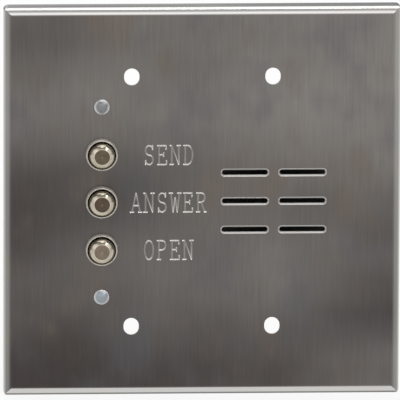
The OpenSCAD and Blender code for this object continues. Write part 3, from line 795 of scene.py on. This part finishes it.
def word_cutter():
    """All the engraved words as one cutter."""
    bm = bmesh.new()
    count = 0
    for key, word in WORDS.items():
        row = middle(key + "_button").z - WORD_DROP - LETTER_H / 2
        start = WORD_X - ((len(word) - 1) * LETTER_PITCH + LETTER_W) / 2
        for place, letter in enumerate(word):
            left = start + place * LETTER_PITCH
            for path in LETTERS[letter]:
                count += 1
                run = [(left + x * LETTER_W, row + z * LETTER_H) for x, z in path]
                groove(bm, run, LIFT + LIFT_STEP * count)
    bmesh.ops.recalc_face_normals(bm, faces=bm.faces)
    mesh = bpy.data.meshes.new("word_cutter")
    bm.to_mesh(mesh)
    bm.free()
    mesh.materials.append(CUT.owner)
    cutter = bpy.data.objects.new("word_cutter", mesh)
    bpy.context.scene.collection.objects.link(cutter)
    return cutter


SLOT_DEPTH = 0.7  # from the face to behind the sound slots' eased edges
LIP_ROUND = 0.1  # how far their lips are rounded
LIP_TURNS = (math.radians(20), math.radians(70))  # between which an edge belongs to a lip
MITRE_SLACK = 0.02
MITRE_START = 58.0  # from the plate's middle, sideways and up


def on_lip(edge):
    """Whether an edge lies on the eased front of a sound slot."""
    at = (edge.verts[0].co + edge.verts[1].co) / (2 * MM)
    half_w, half_h = SLOT_REACH
    near = abs(at.x - SPEAKER.x) < half_w and abs(at.z) < half_h and at.y < SLOT_DEPTH - RIM_DEPTH
    return near and edge.is_manifold and LIP_TURNS[0] < edge.calc_face_angle(0) < LIP_TURNS[1]


def round_slots(bm):
    """Rounds the eased front edges of the sound slots."""
    join_flats(bm)
    round_edges(bm, [edge for edge in bm.edges if on_lip(edge)], LIP_ROUND, 3)


def on_mitre(corner):
    """Whether a corner of the mesh lies where two of the plate's sloped edges meet."""
    across, up = abs(corner.co.x), abs(corner.co.z)
    return abs(across - up) < MITRE_SLACK * MM and across > MITRE_START * MM


def keep_mitres(mesh):
    """Keeps the plate's mitred corners crisp, so that its long bends stay even along their length."""
    corners = [on_mitre(corner) for corner in mesh.vertices]
    sharp = mesh.attributes["sharp_edge"].data
    for edge in mesh.edges:
        if all(corners[i] for i in edge.vertices):
            sharp[edge.index].value = True


PLATE_CREASE = 30


def engraved_plate():
    """The folded plate with its engraved words."""
    bm = solid_copy("faceplate")
    round_slots(bm)
    plate = shown("faceplate", bm, [STAINLESS], crease=PLATE_CREASE)
    cutter = word_cutter()
    cut = plate.modifiers.new("words", "BOOLEAN")
    cut.object = cutter
    cut.operation = "DIFFERENCE"
    cut.solver = "EXACT"
    cut.use_self = True
    cut.material_mode = "TRANSFER"
    settle(plate)
    bpy.data.objects.remove(cutter)
    smooth(plate.data, PLATE_CREASE)
    keep_mitres(plate.data)
    weigh(plate)
    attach(plate, "station")


# Keys


CAP_OUT = 4.6  # from the plate's face to a key's end
CAP_R = 4.2
CONE_R = 3.3
FACE_TILT = math.radians(26)  # of the cone round a key's end
CAP_ROLL = (FACE_R - FLAT_R) / math.sin(FACE_TILT)
SHOULDER = (CAP_R - CONE_R) / (1 - math.sin(FACE_TILT))
COLLAR_FRONT, COLLAR_BACK, COLLAR_R = 1.6, 2.6, 5.2
STEM_R = 2.0
STEM_END = 15.4
FILLET = 0.2
COLLAR_EASE = 0.15
BRIGHT_SIDE = 0.15  # of a key's side, below its shoulder


def key_button(key):
    """A turned key: toned end, rolled edge, bright shoulder, dark sliding side, collar and stem."""
    at = middle(key + "_button")
    top = -CAP_OUT
    tilt = math.degrees(FACE_TILT)
    roll = bow((FLAT_R, top + CAP_ROLL), (CAP_ROLL, CAP_ROLL), -90, tilt - 90, 8)
    middle_y = roll[-1][1] + (CONE_R - FACE_R) * math.tan(FACE_TILT) + SHOULDER * math.cos(FACE_TILT)
    dimple = [(0, top + 0.07), (0.14, top + 0.05), (0.24, top)]
    side = [(CAP_R, 0), (CAP_R, COLLAR_FRONT - FILLET), (CAP_R + FILLET, COLLAR_FRONT)]
    collar_front = [(COLLAR_R - COLLAR_EASE, COLLAR_FRONT), (COLLAR_R, COLLAR_FRONT + COLLAR_EASE)]
    collar_back = [(COLLAR_R, COLLAR_BACK - COLLAR_EASE), (COLLAR_R - COLLAR_EASE, COLLAR_BACK)]
    stem = [(STEM_R + FILLET, COLLAR_BACK), (STEM_R, COLLAR_BACK + FILLET)]
    stem += [(STEM_R, STEM_END - FILLET), (STEM_R - FILLET, STEM_END), (0, STEM_END)]
    profile, zones = zoned(
        (0, dimple + roll[:-1]),
        (1, roll[-1:] + bow((CAP_R - SHOULDER, middle_y), (SHOULDER, SHOULDER), tilt - 90, 0, 18)),
        (1, [(CAP_R, middle_y + BRIGHT_SIDE)]),
        (2, side + collar_front),
        (1, collar_back + stem),
    )
    bm = bmesh.new()
    turn(bm, profile, at.x, at.z, zones)
    piece = shown(key + "_button", bm, [KEY_FACES[key], NICKEL, DARK_NICKEL])
    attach(piece, key + "_key")


def key_ferrule(key):
    """A ferrule with a bowed side, a bore and a lip spread behind the plate."""
    at = middle(key + "_ferrule")
    bore, rim, wall, lip = 4.6, 5.3, 5.1, 5.8
    out, side, sheet, back = 2.0, 0.8, 1.0, 1.5
    ease, nick = 0.2, 0.1
    bowed = bow((bore + ease, -side), (rim - bore - ease, out - side), 0, -90, 16)
    bore_edge = bow((bore + ease, ease - out), (ease, ease), -90, -180, 6)
    bored = [(bore, 2 * ease - out), (bore, back - nick), (bore + nick, back)]
    spread = [(lip - nick, back), (lip, back - nick), (lip, sheet + nick), (lip - nick, sheet)]
    profile, zones = zoned(
        (0, [(wall, 0), (rim, 0)] + bowed),
        (1, bore_edge + bored + spread + [(wall, sheet)]),
    )
    bm = bmesh.new()
    turn(bm, profile, at.x, at.z, zones, closed=True)
    piece = shown(key + "_ferrule", bm, [SATIN, BORE])
    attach(piece, "station")


def key_pusher(key):
    """The moulded end on a key's stem."""
    at = middle(key + "_pusher")
    wide, front, back = 2.75, 12.6, 16.2
    ease, nose = 0.12, 0.5
    profile = [(STEM_R, front), (wide - ease, front), (wide, front + ease), (wide, back - nose - 0.05)]
    profile += bow((wide - nose, back - nose), (nose, nose), 0, 90, 8)
    profile += [(0, back), (0, STEM_END), (STEM_R, STEM_END)]
    bm = bmesh.new()
    turn(bm, profile, at.x, at.z, closed=True)
    piece = shown(key + "_pusher", bm, [NYLON])
    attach(piece, key + "_key")


COIL_R = 3.4  # to the middle of the wire
WIRE_R = 0.25
SPRING_ENDS = (2.6, 11.0)
CLOSED_PITCH = 0.52
OPEN_TURNS = 4
TURN_BLEND = 0.1  # of a turn, over which one pitch runs into the next


def coil_height(turns):
    """Depth of the wire's middle after some turns: one closed, then the open ones, then one closed."""
    front, back = SPRING_ENDS[0] + WIRE_R, SPRING_ENDS[1] - WIRE_R
    open_pitch = (back - front - 2 * CLOSED_PITCH) / OPEN_TURNS
    opened = min(max(turns - 1, 0), OPEN_TURNS)
    return front + CLOSED_PITCH * (turns - opened) + open_pitch * opened


def key_spring(key):
    """A wound return spring with closed ends."""
    at = middle(key + "_spring")
    sides, steps = 12, 40
    total = (OPEN_TURNS + 2) * steps
    bm = bmesh.new()
    rings = []
    for i in range(total + 1):
        a = 2 * math.pi * i / steps
        near = [i / steps + k for k in (-TURN_BLEND, 0, TURN_BLEND)]
        y = sum(coil_height(min(max(turns, 0), OPEN_TURNS + 2)) for turns in near) / 3
        out = Vector((math.cos(a), 0, math.sin(a)))
        core = Vector((at.x, y, at.z)) + COIL_R * out
        wire = []
        for k in range(sides):
            b = 2 * math.pi * k / sides
            p = core + WIRE_R * (math.cos(b) * out + math.sin(b) * Vector((0, 1, 0)))
            wire.append(bm.verts.new((p.x * MM, depth(p.y), p.z * MM)))
        rings.append(wire)
    for a, b in zip(rings, rings[1:]):
        bridge(bm, a, b, 0)
    bm.faces.new(rings[0])
    bm.faces.new(rings[-1])
    piece = shown(key + "_spring", bm, [SPRING], crease=60)
    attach(piece, "station")
    web = (at.x * MM, depth(SPRING_ENDS[1]), at.z * MM)
    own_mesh(piece)


LEAF_CLAMP_X = -19.0  # where a leaf comes out of its stack
LEAF_FREE_X = -30.0  # where its pusher reaches it
LEAF_EASE = 0.05
LEAF_CUTS = 14  # across a leaf, where it can bend
CUT_SLACK = 1e-7  # within which a point lies on a cut


def moving_leaf(key):
    """A contact leaf, cut across between its clamp and the pusher."""
    node = key + "_moving_leaf"
    bm = solid_copy(node)
    ease_edges(bm, LEAF_EASE)
    for i in range(LEAF_CUTS + 1):
        x = LEAF_CLAMP_X + (LEAF_FREE_X - LEAF_CLAMP_X) * i / LEAF_CUTS
        everything = list(bm.verts) + list(bm.edges) + list(bm.faces)
        bmesh.ops.bisect_plane(
            bm, geom=everything, plane_co=(x * MM, 0, 0), plane_no=(1, 0, 0), dist=CUT_SLACK,
        )
    piece = shown(node, bm, [BRONZE])
    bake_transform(piece)


def rivets():
    """Domed rivet heads in front, with their spread tails behind the bracket."""
    low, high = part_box("bracket_rivets")
    x = (low.x + high.x) / (2 * MM)
    head_h, rim_h, rim_ease, shank_r = 1.3, 0.3, 0.12, 1.5
    tail_r, tail_front, tail_back, tail_ease = 2.2, 2.2, 3.1, 0.4
    crown = head_h - rim_h
    ball = (RIVET_R * RIVET_R + crown * crown) / (2 * crown)
    spread = math.degrees(math.asin((RIVET_R - rim_ease) / ball))
    profile = [(0, -head_h)] + bow((0, ball - head_h), (ball, ball), -88, spread - 90, 12)
    profile += bow((RIVET_R - rim_ease, 0.02 - rim_h), (rim_ease, rim_ease), -60, 0, 4)
    profile += [(RIVET_R, 0), (shank_r, 0), (shank_r, tail_front)]
    profile += [(tail_r, tail_front), (tail_r, tail_back - tail_ease)]
    profile += bow((tail_r - tail_ease, tail_back - tail_ease), (tail_ease, tail_ease), 0, 90, 5)
    profile.append((0, tail_back))
    bm = bmesh.new()
    for z in (high.z / MM - RIVET_R, low.z / MM + RIVET_R):
        turn(bm, profile, x, z)
    piece = shown("bracket_rivets", bm, [RIVET])
    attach(piece, "station")


# Loudspeaker


MOVING = "speaker_moving"


def moving_part(node, profile, finishes, zones=None, closed=True):
    """A turned piece on the loudspeaker's axis, which moves with the cone."""
    bm = bmesh.new()
    turn(bm, profile, SPEAKER.x, SPEAKER.z, zones, closed)
    piece = shown(node, bm, finishes, crease=40)
    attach(piece, MOVING)


def cone():
    """A paper cone with pressed ribs."""
    rim, neck, front, back, paper = 19.3, 7.2, 2.8, 10.8, 0.45
    steps, ribs, rib_h, flange, flange_back = 60, 7, 0.1, 1, 0.8
    line = []
    for i in range(steps + 1):
        share = i / steps
        r = rim - flange + (neck - rim + flange) * share
        rib = rib_h * math.sin(math.pi * share) * math.sin(2 * math.pi * ribs * share)
        line.append((r, front + (back - front) * share + rib))
    behind = [(r, y + paper) for r, y in reversed(line)]
    glued = [(rim - flange_back, front + paper), (rim, front + paper)]
    profile = [(rim, front)] + line + behind[:-1] + glued
    moving_part("speaker_cone", profile, [PAPER])


def cap():
    """The dust cap, a shallow dome with a glued edge."""
    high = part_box("dust_cap")[1]
    edge, rise, shell = 8.0, 2.0, 0.3
    base = high.y / MM + RIM_DEPTH
    ball = (edge * edge + rise * rise) / (2 * rise)
    spread = math.degrees(math.asin(edge / ball))
    at = (0, base - rise + ball)
    outer = [(0, base - rise)] + bow(at, (ball, ball), -89, spread - 90, 20)
    inner = bow(at, (ball - shell, ball - shell), spread - 91, -89, 20) + [(0, base - rise + shell)]
    moving_part("dust_cap", outer + inner, [PAPER], closed=False)


def coil():
    """Former with close turns of wire at its inner end."""
    inner, outer, front, end = 7.0, 7.2, 10.6, 18.2
    wound, thick, turns, per_turn, bulge = 3.6, 0.35, 18, 6, 0.06
    start, steps = end - wound, turns * per_turn
    wire = []
    for i in range(steps + 1):
        swell = bulge * abs(math.sin(math.pi * i / per_turn))
        wire.append((outer + thick - bulge + swell, start + wound * i / steps))
    former = [(inner, front), (outer, front), (outer, start)]
    profile, zones = zoned((1, former), (0, wire), (1, [(inner, end)]))
    moving_part("voice_coil", profile, [COPPER, PAPER], zones)


def round_axis(radius, angle, y):
    """A point at a radius in millimetres and an angle round the loudspeaker's axis."""
    x, z = SPEAKER.x + radius * math.cos(angle), SPEAKER.z + radius * math.sin(angle)
    return (x * MM, y, z * MM)


def sector(bm, line, thick, start, stop, steps):
    """A slice of a turned sheet: its two sides, its edges and its two ends."""
    section = line + [(r, y + thick) for r, y in reversed(line)]
    rows = []
    for i in range(steps + 1):
        a = start + (stop - start) * i / steps
        rows.append([bm.verts.new(round_axis(r, a, depth(y))) for r, y in section])
    for a, b in zip(rows, rows[1:]):
        bridge(bm, a, b, 0)
    half = len(line)
    for row in (rows[0], rows[-1]):
        for i in range(half - 1):
            bm.faces.new((row[i], row[i + 1], row[-2 - i], row[-1 - i]))


def flexing_ring(node, line, thick, finish, count, held, free):
    """A round sheet in slices, reaching from the frame to the cone."""
    y = depth(line[0][1])
    for i in range(count):
        start, stop = 2 * math.pi * i / count, 2 * math.pi * (i + 1) / count
        bm = bmesh.new()
        sector(bm, line, thick, start, stop, ROUND // count)
        piece = shown(node, bm, [finish], crease=50, name=f"{node}_{i + 1:02d}")
        a = (start + stop) / 2
        round_axis(held, a, y)
        round_axis(free, a, y)
        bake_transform(piece)


def surround():
    """Outer lip, half roll and inner lip of doped cloth."""
    lip_r, roll, roll_r, inner, y, cloth = 24.0, 20.8, 1.2, 18.4, 2.5, 0.3
    slices, held, free, ease = 16, 22.0, 19.6, 0.15
    line = [(lip_r, y), (lip_r - 1, y), (roll + roll_r + ease, y)]
    line += bow((roll, y), (roll_r, roll_r), 8, 172, 18)
    line += [(roll - roll_r - ease, y), (inner, y)]
    flexing_ring("speaker_surround", line, cloth, SURROUND_CLOTH, slices, held, free)


def spider_disc():
    """The corrugated disc that centres the coil."""
    inner, flat, outer, ledge, y, cloth = 7.2, 0.8, 14.0, 12.6, 11.5, 0.3
    swell, waves, steps, slices = 0.5, 2, 48, 12
    free = inner + flat
    line = [(outer, y)]
    for i in range(steps + 1):
        share = 1 - i / steps
        wave = swell * math.sin(2 * math.pi * waves * share)
        line.append((free + (ledge - free) * share, y - wave))
    line.append((inner, y))
    flexing_ring("spider", line, cloth, SPIDER_CLOTH, slices, ledge, free)


def threaded(bm, x, z, start, end, radius, pitch):
    """A rod along Y with a cut thread."""
    sides, per_turn = 32, 8
    rows = int((end - start) / pitch * per_turn)
    deep, lead_in = 0.55 * pitch, 0.25
    rings = []
    for i in range(rows + 1):
        y = start + (end - start) * i / rows
        taper = min(1, (end - y) / pitch)
        row = []
        for k in range(sides):
            a = 2 * math.pi * k / sides
            phase = (y / pitch - k / sides) % 1
            r = radius - deep * abs(2 * phase - 1) - lead_in * (1 - taper)
            row.append(bm.verts.new(((x + r * math.cos(a)) * MM, depth(y), (z + r * math.sin(a)) * MM)))
        rings.append(row)
    for a, b in zip(rings, rings[1:]):
        bridge(bm, a, b, 0)
    bm.faces.new(rings[0])
    bm.faces.new(rings[-1])


def studs():
    """The threaded weld studs that hold the loudspeaker."""
    low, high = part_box("speaker_studs")
    radius, pitch = 1.5, 0.5
    start, end = 1.0, high.y / MM + RIM_DEPTH
    bm = bmesh.new()
    for x in (low.x / MM + radius, high.x / MM - radius):
        for z in (low.z / MM + radius, high.z / MM - radius):
            threaded(bm, x, z, start, end, radius, pitch)
    piece = shown("speaker_studs", bm, [ZINC], crease=30)
    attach(piece, "station")


EASED = [  # nodes with their finish, its slot, and how far their edges are eased
    ("switch_bracket", ZINC, "zinc_steel", 0.15),
    ("base_insulators", PHENOLIC, "phenolic", 0.12),
    ("leaf_spacers", PHENOLIC, "phenolic", 0.12),
    ("top_insulators", PHENOLIC, "phenolic", 0.12),
    ("clamp_plates", ZINC, "zinc_steel", 0.15),
    ("stack_screws", ZINC, "zinc_steel", 0.12),
    *[(key + "_fixed_leaf", BRONZE, "phosphor_bronze", LEAF_EASE) for key in KEYS],
    ("stack_sleeves", SLEEVING, "sleeving", 0.05),
    ("terminal_board", PHENOLIC, "phenolic", 0.15),
    ("board_posts", BRASS, "brass", 0.15),
    ("board_screws", ZINC, "zinc_steel", 0.12),
    ("terminal_lugs", BRASS, "brass", 0.08),
    ("terminal_screws", BRASS, "brass", 0.15),
    ("speaker_nuts", ZINC, "zinc_steel", 0.2),
    ("speaker_gasket", FELT, "felt", 0.2),
    ("speaker_frame", ZINC, "zinc_steel", 0.1),
    ("top_plate", ZINC, "zinc_steel", 0.2),
    ("magnet", FERRITE, "ferrite", 0.35),
    ("back_plate", ZINC, "zinc_steel", 0.25),
    ("tag_strip", PHENOLIC, "phenolic", 0.12),
    ("tag_rivet", BRASS, "brass", 0.1),
    ("speaker_tags", TINNED, "tinned", 0.06),
]


def build():
    """Makes every piece of the station."""
    engraved_plate()
    rivets()
    for key in KEYS:
        key_ferrule(key)
        key_button(key)
        key_pusher(key)
        key_spring(key)
        moving_leaf(key)
    for node, finish, slot, width in EASED:
        eased(node, finish, width)
    cone()
    cap()
    coil()
    surround()
    spider_disc()
    studs()


# Studio


def seen_directly(finish):
    """1 for light that the camera, a mirror or glass sees, 0 for light that falls on surfaces."""
    path = finish.add("ShaderNodeLightPath", out="Is Camera Ray")
    rays = path.socket.node.outputs
    total = path + Line(finish, rays["Is Glossy Ray"]) + Line(finish, rays["Is Transmission Ray"])
    return total.math("MINIMUM", total, 1.0)


HORIZON = 1.0  # how bright the sky is near the horizon
WINDOW = 1.5  # low in front
HIGH = 0.24  # from about half way up
CEILING = 1.5  # straight above
SIDES = 0.3  # how much of that is left at the sides


def studio_world():
    """Soft light all round, brighter in front and straight above, dimmer high up and at the sides."""
    world = bpy.data.worlds.new("studio")
    bpy.context.scene.world = world
    sky = Finish("studio", owner=world)
    across, away, up = sky.parts(sky.add("ShaderNodeTexCoord", out="Generated"))
    background = sky.tree.nodes["Background"]
    background.inputs["Color"].default_value = (1, 1, 1, 1)
    high, above = sky.grade(up, 0.46, 0.66), sky.grade(up, 0.84, 0.92)
    window = sky.grade(away, -0.6, -0.85) * sky.grade(up, 0.1, 0.2) * sky.grade(up, 0.52, 0.42)
    level = HORIZON + (HIGH - HORIZON) * high + (CEILING - HIGH) * above
    level = level + (WINDOW - HORIZON) * window
    strength = level * (1 + (SIDES - 1) * sky.grade(abs(across), 0.72, 0.88))
    sky.join(background.inputs["Strength"], strength)


FLOOR_GLOW = 0.86  # how much of the floor that is seen is plain white
FLOOR_HALF = 6.0  # half its side, in metres


def pale_floor():
    """A plain floor that the object stands on and shades."""
    bm = bmesh.new()
    bmesh.ops.create_grid(bm, x_segments=1, y_segments=1, size=FLOOR_HALF)
    mesh = bpy.data.meshes.new("floor")
    bm.to_mesh(mesh)
    bm.free()
    floor = bpy.data.objects.new("floor", mesh)
    floor.location.z = cad_box[0][2]
    bpy.context.scene.collection.objects.link(floor)
    matt = {"Roughness": 0.9, "Specular IOR Level": 0.1, "Base Color": shade(243, 243, 243)}
    f = Finish("floor", matt)
    glow = f.add("ShaderNodeEmission", {}, {"Color": (1, 1, 1, 1), "Strength": 1.0})
    lit = Line(f, f.shader.outputs[0])
    joined = f.add("ShaderNodeMixShader", {}, {0: FLOOR_GLOW * seen_directly(f), 1: lit, 2: glow})
    f.join(f.tree.nodes["Material Output"].inputs["Surface"], joined)
    mesh.materials.append(f.owner)


LAMPS = (  # place, width and height in metres, and power in watts
    ("front_box", (0.1, -1.38, 1.58), (0.7, 0.25), 3),
    ("right_box", (0.95, -1.39, 1.26), (0.4, 0.4), 4),
    ("left_box", (-1.6, -0.7, 0.5), (0.7, 1.0), 0.8),
    ("rear_box", (-0.6, 1.7, 1.2), (1.2, 0.9), 12),
)


def softbox(name, place, size, power):
    """A soft lamp that faces the plate's middle."""
    lamp = bpy.data.lights.new(name, "AREA")
    lamp.shape = "RECTANGLE"
    lamp.size, lamp.size_y = size
    lamp.energy = power
    box = bpy.data.objects.new(name, lamp)
    box.location = place
    box.rotation_euler = (-Vector(place)).to_track_quat("-Z", "Y").to_euler()
    bpy.context.scene.collection.objects.link(box)


AZIMUTH, ELEVATION, ROLL = -2.638, 12.535, 0.2126  # of the camera, in degrees
DISTANCE = 4.466  # in metres
PIXELS_PER_MM = 3.06431  # at the plate's middle
IMAGE = 400  # width of the picture in pixels
AIM_OFFSET = (-0.642, 0.463)  # millimetres right and up, from the plate's middle to the picture's
SENSOR = 36.0  # width in millimetres


def camera():
    """A long lens a little above and to the left of the plate."""
    a, e, r = (math.radians(v) for v in (AZIMUTH, ELEVATION, ROLL))
    forward = Vector((-math.sin(a) * math.cos(e), math.cos(a) * math.cos(e), -math.sin(e)))
    level = Vector((math.cos(a), math.sin(a), 0))
    upright = level.cross(forward)
    right = math.cos(r) * level + math.sin(r) * upright
    up = math.cos(r) * upright - math.sin(r) * level
    aim = Vector((0, depth(0), 0)) + (AIM_OFFSET[0] * right + AIM_OFFSET[1] * up) * MM
    data = bpy.data.cameras.new("camera")
    data.sensor_width = SENSOR
    data.lens = SENSOR * DISTANCE / (IMAGE / PIXELS_PER_MM * MM)
    eye = bpy.data.objects.new("camera", data)
    place = aim - forward * DISTANCE
    for column, axis in enumerate((right, up, -forward)):
        for line in range(3):
            eye.matrix_world[line][column] = axis[line]
    eye.location = place
    bpy.context.scene.collection.objects.link(eye)
    bpy.context.scene.camera = eye


build()
studio_world()
pale_floor()
for lamp in LAMPS:
    softbox(*lamp)
camera()
bpy.context.scene.view_settings.view_transform = "Standard"
